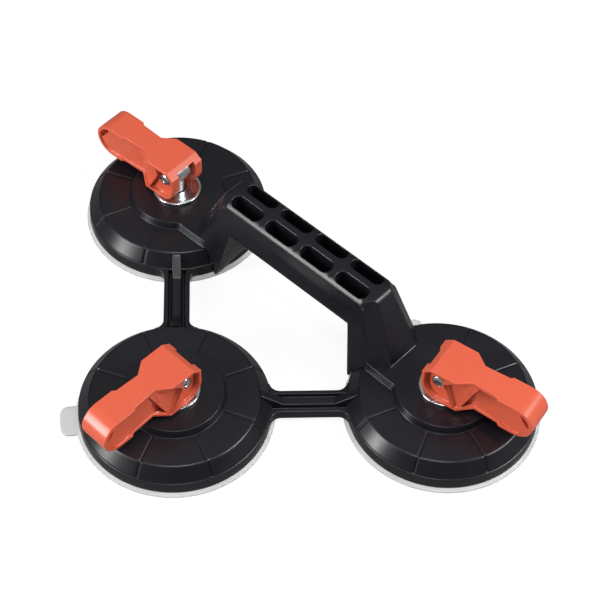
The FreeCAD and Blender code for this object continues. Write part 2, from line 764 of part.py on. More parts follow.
def wireRing(turn, pitch):
    """The spring wire's outline, an octagon square to the coil, after that many turns."""
    angle = 2 * math.pi * turn
    slope = math.atan2(pitch, 2 * math.pi * size.coilRadius.value)
    outward = FreeCAD.Vector(math.cos(angle), math.sin(angle), 0)
    along = FreeCAD.Vector(-math.sin(angle), math.cos(angle), 0)
    upward = FreeCAD.Vector(0, 0, math.cos(slope)) - along * math.sin(slope)
    middle = outward * size.coilRadius.value + FreeCAD.Vector(0, 0, pitch * turn)
    corners = []
    for step in range(9):
        spoke = math.radians(45 * step)
        corners.append(middle + (outward * math.cos(spoke) + upward * math.sin(spoke)) * size.wireRadius.value)
    return Part.makePolygon(corners)


def coilSpring(name, x, y):
    """The spring that presses the plate down, held between its seat and the plate."""
    low = plateTop + size.seatGap + size.wireRadius
    high = hubCeiling - size.seatGap - size.wireRadius
    pitch = (high - low).value / size.coilTurns.value
    steps = 16
    rings = [wireRing(step / steps, pitch) for step in range(round(size.coilTurns.value) * steps + 1)]
    spring = doc.addObject("Part::Feature", name + "Spring")
    spring.Label = name + "_spring"
    spring.Shape = Part.makeLoft(rings, True, True)
    place(spring, x, y, low)
    return spring


def dishedWasher(name, x, y):
    """The plated washer with a rolled rim that the cam bears on."""
    body = newBody(name + "Washer")
    body.Label = name + "_washer"
    base = size.hubHigh + size.seatGap
    round_ = size.washerRim / 3
    section = [
        (size.washerHole, base),
        (size.washerRadius - round_, base),
        (size.washerRadius, base + round_),
        (size.washerRadius, washerTop - round_),
        (size.washerRadius - round_, washerTop),
        (size.washerRadius - size.washerRimWidth + round_, washerTop),
        (size.washerRadius - size.washerRimWidth, washerTop - round_),
        (size.washerRadius - size.washerRimWidth - round_, base + size.washerWall),
        (size.washerHole, base + size.washerWall),
    ]
    revolve(body, name + "WasherDisc", section)
    place(body, x, y)
    return body


def leverBody(name, lever, x, y):
    """The folding lever: a flanged band with cheeks, cam, waist, grip and rolled tip."""
    body = newBody(name + "Lever")
    body.Label = name + "_lever"
    back = -size.camLow
    side = [
        (back + size.facetLength, size.leverTop),
        (back, size.leverTop - size.facetDrop),
        (back, -camOffset, camRadius),
        (camOffset, leverBottom),
        (size.headEnd + size.underStep, leverBottom),
        (size.waistStart + size.underStep, -size.leverBase),
        (tipStart, -size.leverBase, tipRadius),
        (size.leverReach, tipMiddle, tipRadius),
        (tipStart, size.leverTop),
    ]
    sketch = newSketch(body, name + "SideSketch", "XZ_Plane", [side])
    pad(body, name + "Blank", sketch, size.leverHead * 2, symmetric=True)

    # outline from above, which steps further out on the underside
    outside = size.leverHead + size.leverBand
    past = size.leverReach + size.leverBand
    for tag, step, reversed in (("High", asSize(0), True), ("Low", size.underStep, False)):
        trims = []
        for hand in (-1, 1):
            trims.append([
                (size.headEnd + step, hand * size.leverHead),
                (size.waistStart + step, hand * size.leverWaist),
                (size.waistEnd + step, hand * size.leverNeck),
                (size.gripStart + step, hand * size.leverGrip),
                (past, hand * size.leverGrip),
                (past, hand * outside),
                (size.headEnd + step, hand * outside),
            ])
        sketch = newSketch(body, name + tag + "Trim", "XY_Plane", trims)
        pocket(body, name + "Trim" + tag, sketch, reversed=reversed)

    # side pockets, mirrored to the other side: rivet pocket, slanted facet, long web and eye
    top = size.leverTop - size.leverBand
    low = size.leverBand - size.leverBase
    headLow = leverBottom + size.leverBand
    rivetPocket = [
        (back + size.leverBand, -camOffset, camRadius - size.leverBand),
        (camOffset, headLow),
        (size.braceLow - size.braceWall, headLow),
        (size.braceHigh - size.braceWall, size.braceTop),
        (size.braceHigh, top),
        (back + size.facetLength, top),
        (back + size.leverBand, size.leverTop - size.facetDrop - size.leverBand / 3),
    ]
    cheek = size.leverHead - size.headInset
    sketch = newSketch(body, name + "RivetSide", "XZ_Plane", [rivetPocket], height=cheek)
    pockets = [pocket(body, name + "RivetPocket", sketch, reversed=True)]

    facetTurn = math.radians(size.facetTurn.value)
    facet = [
        (size.braceLow, headLow),
        (size.ridgeLow + size.braceWall, headLow),
        (size.ridgeHigh + size.braceWall, top),
        (size.headEnd - size.braceWall, top),
        (size.braceHigh, size.braceTop),
    ]
    tilt = (-math.cos(facetTurn), math.sin(facetTurn), size.facetTilt)
    sketch = newSketch(body, name + "FacetSide", "XZ_Plane", [facet], height=size.facetDepth, tilt=tilt)
    pockets.append(pocket(body, name + "FacetPocket", sketch, reversed=True, along=(0, 1, 0)))

    bandTip = tipRadius - size.leverBand
    web = [
        (size.ridgeLow, headLow),
        (size.waistStart + size.underStep, low),
        (tipStart, low, bandTip),
        (tipStart + bandTip, tipMiddle, bandTip),
        (tipStart, top),
        (size.ridgeHigh, top),
    ]
    webLean = (size.leverGrip - size.leverWaist) / (tipStart - size.waistStart)
    webTilt = asSize(math.degrees(math.atan(webLean.value)))
    webMiddle = size.leverWaist - size.webInset - size.waistStart * webLean
    sketch = newSketch(body, name + "WebSide", "XZ_Plane", [web], height=webMiddle, tilt=(0, -1, webTilt))
    pockets.append(pocket(body, name + "WebPocket", sketch, reversed=True))

    eyeRadius = bandTip - size.eyeInset
    eye = []
    for angle, radius in ((size.eyeFrom, eyeRadius), (size.eyeTo, size.eyeCurve)):
        turn = math.radians(angle.value)
        eye.append((tipStart + eyeRadius * math.cos(turn), tipMiddle + eyeRadius * math.sin(turn), radius))
    eyeFloor = size.leverGrip - size.webInset - size.eyeDepth
    sketch = newSketch(body, name + "EyeSide", "XZ_Plane", [eye], height=eyeFloor)
    pockets.append(pocket(body, name + "EyePocket", sketch, reversed=True))
    mirrored(body, name + "SidePockets", pockets, "XZ_Plane")

    # mouth between the cheeks, hollow core and the eye at the tip
    ceiling = size.leverTop - size.topWall
    mouth = [
        (back - 1, leverBottom - 1), (size.mouthEnd, leverBottom - 1), (size.mouthEnd, headLow),
        (size.headEnd, headLow), (size.headEnd, ceiling), (back - 1, ceiling),
    ]
    sketch = newSketch(body, name + "MouthSketch", "XZ_Plane", [mouth])
    pocket(body, name + "Mouth", sketch, size.cheekGap, symmetric=True)
    coreEnd = tipStart - size.leverBand
    coreRound = (ceiling - low) / 2
    core = [
        (size.headEnd - 1, low),
        (coreEnd, low, coreRound),
        (coreEnd + coreRound, (ceiling + low) / 2, coreRound),
        (coreEnd, ceiling),
        (size.headEnd - 1, ceiling),
    ]
    sketch = newSketch(body, name + "CoreSketch", "XZ_Plane", [core])
    pocket(body, name + "Core", sketch, size.coreWidth, symmetric=True)

    hole = size.pinRadius + size.rivetClearance
    sketch = newSketch(body, name + "PinSketch", "XZ_Plane", circles=[(0, 0, hole)])
    pocket(body, name + "PinHole", sketch, symmetric=True)
    place(body, x, y, pivotHigh, yaw=lever)
    return body


def pivotRivet(name, lever, x, y):
    """The pivot rivet: a domed head on one cheek and a rolled tubular end on the other."""
    body = newBody(name + "Rivet")
    body.Label = name + "_pivot_rivet"
    cheek = size.leverHead - size.headInset + size.rivetClearance
    reach = cheek + size.rivetDome
    section = [
        (0, -reach),
        (size.rivetHead * 0.55, -reach),
        (size.rivetHead * 0.9, -reach + size.rivetDome * 0.45),
        (size.rivetHead, -cheek - size.rivetDome * 0.15),
        (size.rivetHead, -cheek),
        (size.pinRadius, -cheek),
        (size.pinRadius, cheek),
        (size.rivetHead, cheek),
        (size.rivetHead, cheek + size.rivetDome * 0.4),
        (size.rivetHead * 0.8, cheek + size.rivetDome * 0.8),
        (size.rivetHollow + size.rivetDome * 0.3, cheek + size.rivetDome * 0.8),
        (size.rivetHollow, cheek + size.rivetDome * 0.4),
        (size.rivetHollow, cheek - size.rivetDome),
        (0, cheek - size.rivetDome),
    ]
    sketch = newSketch(body, name + "RivetSection", "XY_Plane", [section])
    feature = body.newObject("PartDesign::Revolution", name + "RivetTurn")
    feature.Profile = sketch
    feature.ReferenceAxis = (sketch, ["V_Axis"])
    feature.Angle = 360
    place(body, x, y, pivotHigh, yaw=lever)
    doc.recompute()
    return body


def headParts(name, direction, lever, tab):
    x, y = headPlace(direction)
    return [
        rubberPad(name, tab, x, y),
        anchorPlate(name, x, y),
        stud(name, lever, x, y),
        coilSpring(name, x, y),
        dishedWasher(name, x, y),
        leverBody(name, lever, x, y),
        pivotRivet(name, lever, x, y),
    ]


def report(parts):
    """Checks every object and writes one STEP file for each part."""
    doc.recompute()
    for item in doc.Objects:
        if "Invalid" in item.State or "Error" in item.State:
            raise RuntimeError("%s failed: %s" % (item.Name, item.State))
    os.makedirs("parts", exist_ok=True)
    for part in parts:
        shape = part.Shape
        if shape.isNull() or not shape.isValid() or len(shape.Solids) != 1:
            raise RuntimeError("%s is not one valid solid" % part.Label)
        shape.exportStep("parts/%s.step" % part.Label)
        box = shape.BoundBox
        print("%-22s %9.1f mm3  x %.1f %.1f  y %.1f %.1f  z %.2f %.2f" % (
            part.Label, shape.Volume, box.XMin, box.XMax, box.YMin, box.YMax, box.ZMin, box.ZMax))


parts = [frameMoulding()]
for name, direction, lever, tab in HEADS:
    parts += headParts(name, direction, lever, tab)
report(parts)
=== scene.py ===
import bpy
import bmesh
import math
import numpy as np
from mathutils import Matrix, Vector


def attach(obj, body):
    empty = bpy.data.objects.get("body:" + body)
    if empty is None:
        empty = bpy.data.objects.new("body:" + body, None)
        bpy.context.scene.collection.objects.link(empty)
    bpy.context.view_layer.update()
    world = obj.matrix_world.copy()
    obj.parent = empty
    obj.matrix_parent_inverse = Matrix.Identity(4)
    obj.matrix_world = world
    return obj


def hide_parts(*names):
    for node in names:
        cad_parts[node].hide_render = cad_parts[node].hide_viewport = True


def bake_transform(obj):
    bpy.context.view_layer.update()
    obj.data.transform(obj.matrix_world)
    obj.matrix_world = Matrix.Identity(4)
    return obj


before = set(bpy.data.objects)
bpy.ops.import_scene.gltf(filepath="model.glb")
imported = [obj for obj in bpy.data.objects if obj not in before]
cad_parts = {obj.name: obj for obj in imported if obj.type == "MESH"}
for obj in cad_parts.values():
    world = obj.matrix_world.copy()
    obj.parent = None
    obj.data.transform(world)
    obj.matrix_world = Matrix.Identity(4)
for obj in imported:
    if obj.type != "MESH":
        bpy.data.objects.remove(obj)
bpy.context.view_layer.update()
mm = 0.001

# the three heads: centre in mm, then the turns of the lever and of the pull tab in degrees
heads = {
    "front": {"centre": (0.0, -57.4), "lever": -91.3, "tab": -130.0},
    "right": {"centre": (117.0, 59.6), "lever": 9.3, "tab": 150.0},
    "left": {"centre": (-117.0, 59.6), "lever": 182.0, "tab": 30.0},
}


# materials: lengths in metres

grainDetail = 2.0


def newMaterial(name):
    material = bpy.data.materials.new(name)
    material.use_nodes = True
    nodes = material.node_tree.nodes
    shader = nodes["Principled BSDF"]
    return material, nodes, material.node_tree.links, shader


def objectPoints(nodes):
    return nodes.new("ShaderNodeTexCoord").outputs["Object"]


def noise(nodes, links, points, scale, detail):
    texture = nodes.new("ShaderNodeTexNoise")
    texture.inputs["Scale"].default_value = scale
    texture.inputs["Detail"].default_value = detail
    texture.inputs["Roughness"].default_value = 0.5
    links.new(points, texture.inputs["Vector"])
    return texture.outputs["Fac"]


# spread: the noise, which mostly lies between 0.3 and 0.7, stretched over low to high
def spread(nodes, links, value, low, high):
    ramp = nodes.new("ShaderNodeMapRange")
    ramp.inputs["From Min"].default_value = 0.3
    ramp.inputs["From Max"].default_value = 0.7
    ramp.inputs["To Min"].default_value = low
    ramp.inputs["To Max"].default_value = high
    links.new(value, ramp.inputs["Value"])
    return ramp.outputs["Result"]


def mixColour(nodes, links, factor, first, second):
    mix = nodes.new("ShaderNodeMix")
    mix.data_type = "RGBA"
    mix.inputs["A"].default_value = (*first, 1.0)
    mix.inputs["B"].default_value = (*second, 1.0)
    links.new(factor, mix.inputs["Factor"])
    return mix.outputs["Result"]


def addBump(nodes, links, shader, height, strength, distance):
    bump = nodes.new("ShaderNodeBump")
    bump.inputs["Strength"].default_value = strength
    bump.inputs["Distance"].default_value = distance
    links.new(height, bump.inputs["Height"])
    links.new(bump.outputs["Normal"], shader.inputs["Normal"])


# clouded material: a soft cloud shifts colour and roughness a little, and a fine grain gives relief
def makeClouded(name, look):
    material, nodes, links, shader = newMaterial(name)
    points = objectPoints(nodes)
    cloud = noise(nodes, links, points, look["cloudScale"], look["cloudDetail"])
    grain = noise(nodes, links, points, look["grainScale"], grainDetail)
    colour = mixColour(nodes, links, cloud, look["first"], look["second"])
    links.new(colour, shader.inputs["Base Color"])
    rough = spread(nodes, links, cloud, look["roughLow"], look["roughHigh"])
    links.new(rough, shader.inputs["Roughness"])
    for socket, value in look["sockets"].items():
        shader.inputs[socket].default_value = value
    addBump(nodes, links, shader, grain, look["grainStrength"], look["grainDepth"])
    return material


blackPlastic = {
    "first": (0.0083, 0.0083, 0.0118), "second": (0.0112, 0.0112, 0.0155),
    "roughLow": 0.26, "roughHigh": 0.35, "cloudScale": 35.0, "cloudDetail": 4.0,
    "grainScale": 900.0, "grainStrength": 0.25, "grainDepth": 0.00009,
    "sockets": {"Specular IOR Level": 0.44},
}

orangePlastic = {
    "first": (0.80, 0.138, 0.071), "second": (0.73, 0.122, 0.061),
    "roughLow": 0.24, "roughHigh": 0.34, "cloudScale": 28.0, "cloudDetail": 3.0,
    "grainScale": 700.0, "grainStrength": 0.2, "grainDepth": 0.00003,
    "sockets": {
        "Subsurface Weight": 0.06, "Subsurface Radius": (0.004, 0.001, 0.0005), "Subsurface Scale": 0.5,
    },
}

zincSteel = {
    "first": (0.80, 0.81, 0.83), "second": (0.656, 0.6642, 0.6806),
    "roughLow": 0.18, "roughHigh": 0.32, "cloudScale": 120.0, "cloudDetail": 4.0,
    "grainScale": 1500.0, "grainStrength": 0.15, "grainDepth": 0.00002,
    "sockets": {"Metallic": 1.0},
}

springSteel = {
    **zincSteel, "first": (0.50, 0.51, 0.53), "second": (0.41, 0.4182, 0.4346),
    "roughLow": 0.25, "roughHigh": 0.4,
}

paleRubber = {
    "first": (0.82, 0.81, 0.80), "second": (0.76, 0.755, 0.745), "cloudScale": 40.0, "cloudDetail": 3.0,
    "reliefStrength": 0.1, "reliefDepth": 0.0001,
    "sockets": {"Roughness": 0.45, "Transmission Weight": 0.5, "IOR": 1.42},
}


def makePaleRubber():
    look = paleRubber
    material, nodes, links, shader = newMaterial("paleRubber")
    cloud = noise(nodes, links, objectPoints(nodes), look["cloudScale"], look["cloudDetail"])
    links.new(mixColour(nodes, links, cloud, look["first"], look["second"]), shader.inputs["Base Color"])
    for socket, value in look["sockets"].items():
        shader.inputs[socket].default_value = value
    addBump(nodes, links, shader, cloud, look["reliefStrength"], look["reliefDepth"])
    return material


materials = {
    "black_plastic": makeClouded("blackPlastic", blackPlastic),
    "orange_plastic": makeClouded("orangePlastic", orangePlastic),
    "pale_rubber": makePaleRubber(),
    "zinc_steel": makeClouded("zincSteel", zincSteel),
    "spring_steel": makeClouded("springSteel", springSteel),
}
print("materials made:", len(materials))


# shared ways of making and placing a piece

def linkObject(name, data):
    piece = bpy.data.objects.new(name, data)
    bpy.context.scene.collection.objects.link(piece)
    return piece


def shadeSmooth(mesh):
    mesh.polygons.foreach_set("use_smooth", np.ones(len(mesh.polygons), dtype=bool))


def meshObject(name, points, faces):
    mesh = bpy.data.meshes.new(name)
    mesh.from_pydata(np.asarray(points, float).tolist(), [], [tuple(face) for face in faces])
    mesh.update()
    shadeSmooth(mesh)
    return linkObject(name, mesh)


# finished piece: its material, slot and node, and the body it rides on, if it isn't blended between two
def finishPiece(piece, slotName, bodyName, nodeName):
    piece.data.materials.clear()
    piece.data.materials.append(materials[slotName])
    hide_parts(nodeName)
    if bodyName:
        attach(piece, bodyName)
    return piece


# gridFaces: quads between neighbouring rows and columns, closed round where asked
def gridFaces(rows, columns, closeRows=False, closeColumns=False):
    i = np.arange(rows if closeRows else rows - 1)
    j = np.arange(columns if closeColumns else columns - 1)
    i, j = np.meshgrid(i, j, indexing="ij")
    nextI, nextJ = (i + 1) % rows, (j + 1) % columns
    corners = [i * columns + j, i * columns + nextJ, nextI * columns + nextJ, nextI * columns + j]
    return np.stack(corners, -1).reshape(-1, 4)


# tidy mesh: points that fall together are merged, and closed skins are turned to face outwards
def tidyMesh(mesh, turnOut=True):
    work = bmesh.new()
    work.from_mesh(mesh)
    bmesh.ops.remove_doubles(work, verts=work.verts, dist=0.000002)
    bmesh.ops.dissolve_degenerate(work, dist=0.000001, edges=work.edges)
    if turnOut:
        bmesh.ops.recalc_face_normals(work, faces=work.faces)
    work.to_mesh(mesh)
    work.free()


# weighted normals: the large faces keep their own direction, so only the rounded edges shade softly
def weightNormals(piece):
    weighted = piece.modifiers.new("weighted", "WEIGHTED_NORMAL")
    weighted.mode = "FACE_AREA"
    weighted.weight = 60
    weighted.keep_sharp = True


# bevelling, lengths in metres and angles in degrees: which points merge, which edges count as sharp, and
# how much of the faces' reach and of the corners' edges a rounding may take; too small a share stays sharp
bevelLook = {
    "samePlace": 0.00001, "flat": 0.5, "merge": 0.0003, "sharp": 24.0, "onward": 0.94,
    "faceShare": 0.25, "cornerShare": 0.4, "leastShare": 0.6, "leastLength": 0.00035,
}


# how far a face reaches away from the line of one of its edges
def faceReach(edge, face):
    start, ahead = edge.verts[0].co, edgeDirection(edge)
    return max((corner.co - start).cross(ahead).length for corner in face.verts)


def edgeDirection(edge):
    return (edge.verts[1].co - edge.verts[0].co).normalized()


# the shortest edge that turns off at either end of an edge; edges that run onward don't count
def cornerReach(edge):
    ahead = edgeDirection(edge)
    others = [other for corner in edge.verts for other in corner.link_edges if other is not edge]
    turns = [other.calc_length() for other in others
             if abs(edgeDirection(other).dot(ahead)) < bevelLook["onward"]]
    return min(turns, default=1.0)


# rounding share: how much of the full width an edge has room for, none where it is hollow, blunt or tiny
def roundingShare(edge, width):
    look = bevelLook
    if not edge.is_convex or edge.calc_face_angle(0) <= math.radians(look["sharp"]):
        return 0.0
    room = min(look["faceShare"] * min(faceReach(edge, face) for face in edge.link_faces),
               look["cornerShare"] * cornerReach(edge))
    share = min(1.0, room / width)
    return share if share > look["leastShare"] and edge.calc_length() > look["leastLength"] else 0.0


# bevelled copy: the solid's own surfaces, with their sharp edges rounded as a mould leaves them
def bevelledCopy(node, width, segments):
    look = bevelLook
    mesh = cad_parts[node].data.copy()
    work = bmesh.new()
    work.from_mesh(mesh)
    bmesh.ops.remove_doubles(work, verts=work.verts, dist=look["samePlace"])
    bmesh.ops.dissolve_degenerate(work, dist=look["samePlace"], edges=work.edges)
    flat = math.radians(look["flat"])
    bmesh.ops.dissolve_limit(work, angle_limit=flat, verts=work.verts, edges=work.edges)
    bmesh.ops.remove_doubles(work, verts=work.verts, dist=look["merge"])
    bmesh.ops.recalc_face_normals(work, faces=work.faces)
    weight = work.edges.layers.float.new("bevel_weight_edge")
    for edge in work.edges:
        edge[weight] = roundingShare(edge, width * mm)
    work.to_mesh(mesh)
    work.free()
    shadeSmooth(mesh)
    piece = linkObject(node + "_dressed", mesh)
    bevel = piece.modifiers.new("edges", "BEVEL")
    bevel.width = width * mm
    bevel.segments = segments
    bevel.limit_method = "WEIGHT"
    bevel.use_clamp_overlap = False
    weightNormals(piece)
    return piece


# turned: a closed profile of (radius, height) carried round an axis through middle
def turned(name, profile, middle, axis="Z", yaw=0.0, steps=96):
    profile = np.array(profile, float)
    turn = np.linspace(0, 2 * np.pi, steps, endpoint=False)
    radius, height = profile[:, 0], profile[:, 1]
    first = radius[None] * np.cos(turn)[:, None]
    second = radius[None] * np.sin(turn)[:, None]
    third = np.broadcast_to(height[None], first.shape)
    if axis == "Z":
        local = np.stack([first, second, third], -1)
    else:
        local = np.stack([second, third, first], -1)
    cosine, sine = math.cos(math.radians(yaw)), math.sin(math.radians(yaw))
    spin = np.array([[cosine, -sine, 0], [sine, cosine, 0], [0, 0, 1]])
    points = (local @ spin.T + np.array(middle)) * mm
    faces = gridFaces(steps, len(profile), closeRows=True, closeColumns=True)
    piece = meshObject(name, points.reshape(-1, 3), faces)
    tidyMesh(piece.data)
    return piece


# rounded sections: each corner of closed polygons becomes a quadratic curve that starts its reach away
def roundedSections(corners, reaches, steps=5):
    before = np.roll(corners, 1, -2) - corners
    after = np.roll(corners, -1, -2) - corners
    longBefore = np.maximum(np.linalg.norm(before, axis=-1, keepdims=True), 1e-9)
    longAfter = np.maximum(np.linalg.norm(after, axis=-1, keepdims=True), 1e-9)
    reach = np.minimum(np.asarray(reaches, float)[..., None], 0.45 * np.minimum(longBefore, longAfter))
    start, end = corners + before / longBefore * reach, corners + after / longAfter * reach
    t = np.linspace(0, 1, steps)[:, None]
    curve = ((1 - t) ** 2 * start[..., None, :] + 2 * t * (1 - t) * corners[..., None, :]
             + t ** 2 * end[..., None, :])
    return curve.reshape(*corners.shape[:-2], -1, 2)


# rounded profile: rows of (radius, height, reach); a corner with no reach stays a single point
def roundedProfile(corners, steps=5):
    corners = np.array(corners, float)
    curve = roundedSections(corners[:, :2], corners[:, 2], steps).reshape(len(corners), steps, 2)
    kept = [row if reach > 0 else row[:1] for row, reach in zip(curve, corners[:, 2])]
    return np.concatenate(kept)


# frame moulding: three heads, two rails and the bridge handle, as surfaces joined in one mesh

headLook = {
    "skirt": 60.0, "skirtLow": 3.0, "skirtHigh": 11.4, "draft": 0.6, "ledge": 0.55, "wall": 3.2,
    "ring": 52.2, "ringHigh": 20.0, "hubFoot": 32.2, "hub": 30.5, "hubHigh": 24.6,
    "bore": 5.08, "guide": 7.08, "guideLow": 14.6, "seat": 12.2, "seatOuter": 15.0, "seatLow": 12.4,
    "grooves": 8, "grooveHalf": 0.85, "grooveDepth": 0.8, "grooveMargin": 2.4, "grooveRadius": 45.0,
    "plainColumns": 14, "webFrom": 16.2, "stripHalf": 20.5, "stripFoot": 22.2, "stripEnd": 50.0,
}


# the section of a head from the skirt's inside edge, up over the ring and hub, down the bore and back
def headSection():
    look = headLook
    top = look["skirt"] - look["draft"]
    ceiling, ringCeiling = look["hubHigh"] - look["wall"], look["ringHigh"] - look["wall"]
    return roundedProfile([
        (look["skirt"] - look["wall"], look["skirtLow"], 0.5), (look["skirt"], look["skirtLow"], 0.7),
        (top + 0.04, look["skirtHigh"] - 0.5, 0.35), (top - look["ledge"], look["skirtHigh"] - 0.25, 0.2),
        (top - look["ledge"] - 0.3, look["skirtHigh"] + 0.5, 0.3),
        (look["ring"], look["ringHigh"], 1.3), (look["hubFoot"] + 1.2, look["ringHigh"], 0),
        (look["hubFoot"] + 1.0, look["ringHigh"], 0), (look["hubFoot"], look["ringHigh"], 0.7),
        (look["hub"], look["hubHigh"], 0.6), (look["bore"], look["hubHigh"], 0.3),
        (look["bore"], look["guideLow"], 0.2), (look["guide"], look["guideLow"], 0.2),
        (look["guide"], ceiling, 0), (look["seat"], ceiling, 0), (look["seat"], look["seatLow"], 0.3),
        (look["seatOuter"], look["seatLow"], 0.3), (look["seatOuter"], ceiling, 0),
        (look["hub"] - 1.9, ceiling, 0.6), (look["hubFoot"] - 2.2, ringCeiling, 0.6),
        (look["ring"] - 1.4, ringCeiling, 1.0),
        (look["skirt"] - look["wall"] - 0.6, look["skirtHigh"] - 1.1, 0.6),
    ])


# edge of the raised web by angle: the hub's circle, or a straight side or end where that lies further out
def stripEdge(turn, circle, half, end):
    side = half / np.maximum(np.abs(np.sin(turn)), 0.001)
    front = end / np.maximum(np.cos(turn), 0.001)
    strip = np.where(np.cos(turn) > 0.2, np.minimum(side, front), circle)
    return np.maximum(circle, np.minimum(strip, end + 0.6))


# groove columns: the angle of each column's groove, its distance from it in mm and its depth. Five columns
# go down one side of a groove and five up the other, and plain ones fill the sector to the next groove
def grooveColumns():
    look = headLook
    sector = 2 * np.pi / look["grooves"]
    half, margin = look["grooveHalf"], look["grooveMargin"]
    across = np.array([-margin, -half - 0.3, -half - 0.05, -half + 0.25, -half + 0.5])
    drop = np.array([0.0, 0.0, 0.2, 0.85, 1.0])
    part = np.linspace(0, 1, look["plainColumns"])[1:-1]
    base = np.concatenate([np.zeros(2 * len(across)), part * sector])
    shift = np.concatenate([across, -across[::-1], margin - 2 * margin * part])
    sunk = np.concatenate([drop, drop[::-1], part * 0]) * look["grooveDepth"]
    starts = (np.arange(look["grooves"]) + 0.5) * sector
    base = (starts[:, None] + base[None]).reshape(-1, 1)
    return base, np.tile(shift, look["grooves"])[:, None], np.tile(sunk, look["grooves"])[:, None]


# web radius: where the handle stands, the hub's edge moves out to the raised web's, and the top between
# the washer and the ring's edge is stretched with it
def webRadius(turn, radius, height):
    look = headLook
    edge = stripEdge(turn, look["hub"], look["stripHalf"], look["stripEnd"]) - look["hub"]
    foot = stripEdge(turn, look["hubFoot"], look["stripFoot"], look["stripEnd"] + 0.9) - look["hubFoot"]
    hubEdge, ringEdge = look["hub"] - 1.0, look["ring"] - 1.0
    onHub = np.clip((radius - look["webFrom"]) / (hubEdge - look["webFrom"]), 0, 1)
    onRing = np.clip((ringEdge - radius) / (ringEdge - look["hubFoot"] - 1.2), 0, 1)
    blend = np.clip((radius - look["hub"]) / (look["hubFoot"] - look["hub"]), 0, 1)
    moved = radius + onHub * onRing * (edge * (1 - blend) + foot * blend)
    return np.where(height > look["ringHigh"] - 1.0, moved, radius)


# head: the section turned about the head's axis; columns keep their distance in mm from each groove
def headSurface(head):
    look = headLook
    section = headSection()
    base, shift, sunk = grooveColumns()
    radius, height = section[None, :, 0], section[None, :, 1]
    if head == "front":
        radius = np.broadcast_to(radius, (len(base), section.shape[0]))
    else:
        radius = webRadius(base + shift / look["grooveRadius"], radius, height)
    turn = base + shift / np.maximum(radius, look["hubFoot"])

    # the grooves sink along the section's own normal, on the ring's top and its slope only
    ahead = np.roll(section, -1, 0) - np.roll(section, 1, 0)
    normal = np.stack([ahead[:, 1], -ahead[:, 0]], -1)
    normal /= np.maximum(np.linalg.norm(normal, axis=1, keepdims=True), 1e-9)
    grooved = (section[:, 0] > look["hubFoot"] + 1.1) & (section[:, 1] > look["skirtHigh"] - 0.1)
    grooved &= section[:, 1] > look["ringHigh"] - look["wall"] * 0.9 - (section[:, 0] - look["ring"]) * 1.2
    fall = sunk * grooved[None]
    radius = radius - fall * normal[None, :, 0]
    height = height - fall * normal[None, :, 1]
    facing = np.pi if head == "right" else 0.0
    x, y = heads[head]["centre"]
    return np.stack([x + radius * np.cos(turn + facing), y + radius * np.sin(turn + facing), height], -1)


railLook = {
    "half": 8.3, "low": 4.0, "high": 11.0, "lip": 3.0, "rib": 2.9, "floor": 8.0,
    "flare": 7.0, "flareShare": 0.98, "skirt": 60.0, "length": 165.463, "inside": 52.8,
    "climbFrom": 67.0, "climbTo": 53.8, "climbHigh": 19.95, "roundings": (1.2, 1.2, 0.7, 0.8, 0.9, 0.9),
}


# rail: its section carried along a straight line, wider at the flares, with a rib that climbs at the ends
def railSurface(yaw):
    look = railLook
    reach, side = look["skirt"] + look["flare"], look["half"] + look["flare"]
    start = math.sqrt(reach ** 2 - side ** 2)
    flared = look["flare"] * look["flareShare"]
    near = np.concatenate([
        np.linspace(look["inside"], start - flared, 6),
        start - look["flare"] * np.cos(np.linspace(0.2, np.pi / 2, 10)),
        np.linspace(start, look["climbFrom"] + 1.0, 4)[1:],
    ])
    along = np.concatenate([near, look["length"] - near[::-1]])
    end = np.minimum(along, look["length"] - along)
    into = np.clip(start - end, 0, flared)
    half = side - np.sqrt(look["flare"] ** 2 - into ** 2)
    climb = np.clip((look["climbFrom"] - end) / (look["climbFrom"] - look["climbTo"]), 0, 1)
    top = look["high"] + (look["climbHigh"] - look["high"]) * climb
    inner, rib = look["half"] - look["lip"], look["rib"]
    ones = np.ones_like(along)
    right = [
        (half, look["low"] * ones), (half, look["high"] * ones), (inner * ones, look["high"] * ones),
        (inner * ones, look["floor"] * ones), (rib * 1.06 * ones, look["floor"] * ones), (rib * ones, top),
    ]
    left = [(-y, z) for y, z in right[::-1]]
    corners = np.stack([np.stack(corner, -1) for corner in right + left], 1)
    section = roundedSections(corners, look["roundings"] + look["roundings"][::-1])
    y, z = section[..., 0], section[..., 1]
    x = np.broadcast_to(along[:, None], y.shape)
    turn = math.radians(yaw)
    middleX, middleY = heads["front"]["centre"]
    return np.stack([middleX + x * math.cos(turn) - y * math.sin(turn),
                     middleY + x * math.sin(turn) + y * math.cos(turn), z], -1)


handleLook = {
    "line": 59.6, "high": 68.0, "crown": 1.4, "topHalf": 64.6, "footHalf": 83.6, "hubHigh": 24.6,
    "innerHigh": 51.0, "innerLow": 58.3, "beamLow": 43.6, "grip": 14.1, "foot": 23.2, "skirtLow": 3.0,
    "chamfer": 7.2, "chamferFade": 1.6, "round": 5.6, "palmBlend": 1.12, "shoulder": 3.0, "footBlend": 0.8,
    "footLine": ((58.3, 3.1), (60.2, 3.1), (60.7, 9.5), (66.0, 15.0), (88.0, 18.5)),
    "slotZone": 57.0, "slotLength": 24.4, "slotWidth": 9.0, "slotRound": 4.1, "slotPitch": 29.6,
    "slotRib": 4.9, "slotFloor": 46.0, "slotFoot": 0.6, "slotMid": 10.0, "rim": 0.65,
    "seam": 43.5, "side": 86.0,
}


# height of the leaning outside of a leg at a distance from the handle's middle
def leanHeight(x):
    look = handleLook
    slope = (look["high"] - look["hubHigh"]) / (look["footHalf"] - look["topHalf"])
    return look["high"] - (x - look["topHalf"]) * slope


